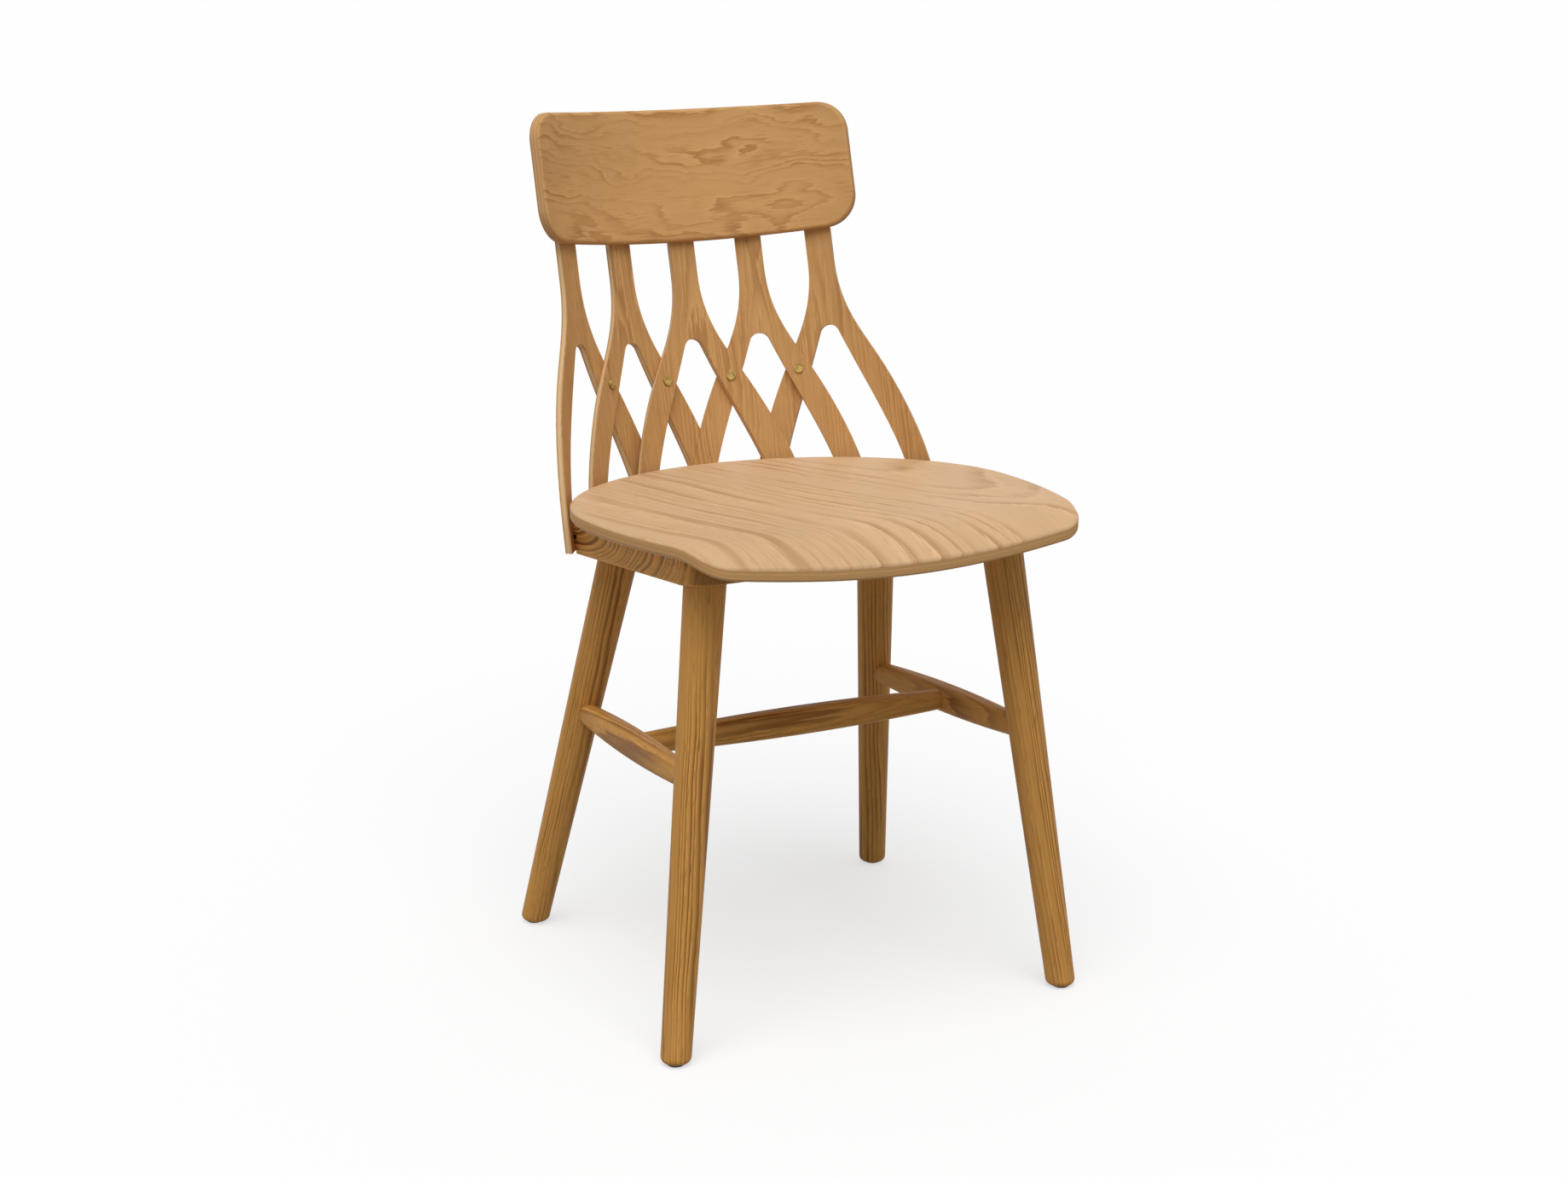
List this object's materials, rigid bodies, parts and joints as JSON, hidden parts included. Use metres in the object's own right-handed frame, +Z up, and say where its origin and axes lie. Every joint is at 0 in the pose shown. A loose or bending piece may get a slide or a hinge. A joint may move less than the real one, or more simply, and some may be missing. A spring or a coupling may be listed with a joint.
{
  "type": "dining chair",
  "caption": "Wooden dining chair with round splayed legs, an H stretcher, a dished plywood seat and a curved back panel on crossed Y-shaped slats.",
  "frame": {"origin": "on the floor under the middle of the chair's outer box", "axes": "+Z up, -Y towards the front (where the sitter faces), +X to the right seen from the front"},
  "size_m": [0.423, 0.5116, 0.7817],
  "materials": {
    "back_ply": "satin lacquered oak-faced plywood",
    "stretcher_wood": "satin stained hardwood",
    "brass": "satin",
    "screw_steel": "zinc plated",
    "glide_plastic": "matt",
    "leg_wood": "satin stained hardwood",
    "frame_wood": "satin stained hardwood",
    "dowel_wood": "plain",
    "seat_ply": "satin lacquered oak-faced plywood",
    "slat_ply": "satin lacquered oak-faced plywood"
  },
  "bodies": {
    "root": {"back_panel": "back_ply", "cross_stretcher": "stretcher_wood", "crossing_posts": "brass", "crossing_screws": "screw_steel", "front_glide_left": "glide_plastic", "front_glide_right": "glide_plastic", "front_leg_left": "leg_wood", "front_leg_right": "leg_wood", "front_rail": "frame_wood", "rail_dowels": "dowel_wood", "rear_glide_left": "glide_plastic", "rear_glide_right": "glide_plastic", "rear_leg_left": "leg_wood", "rear_leg_right": "leg_wood", "rear_rail": "frame_wood", "seat_panel": "seat_ply", "seat_screws": "screw_steel", "side_rail_left": "frame_wood", "side_rail_right": "frame_wood", "side_stretcher_left": "stretcher_wood", "side_stretcher_right": "stretcher_wood", "slat_1": "slat_ply", "slat_2": "slat_ply", "slat_3": "slat_ply", "slat_4": "slat_ply", "slat_5": "slat_ply", "slat_end_screws": "screw_steel", "stem_screws": "screw_steel"}
  },
  "joints": []
}
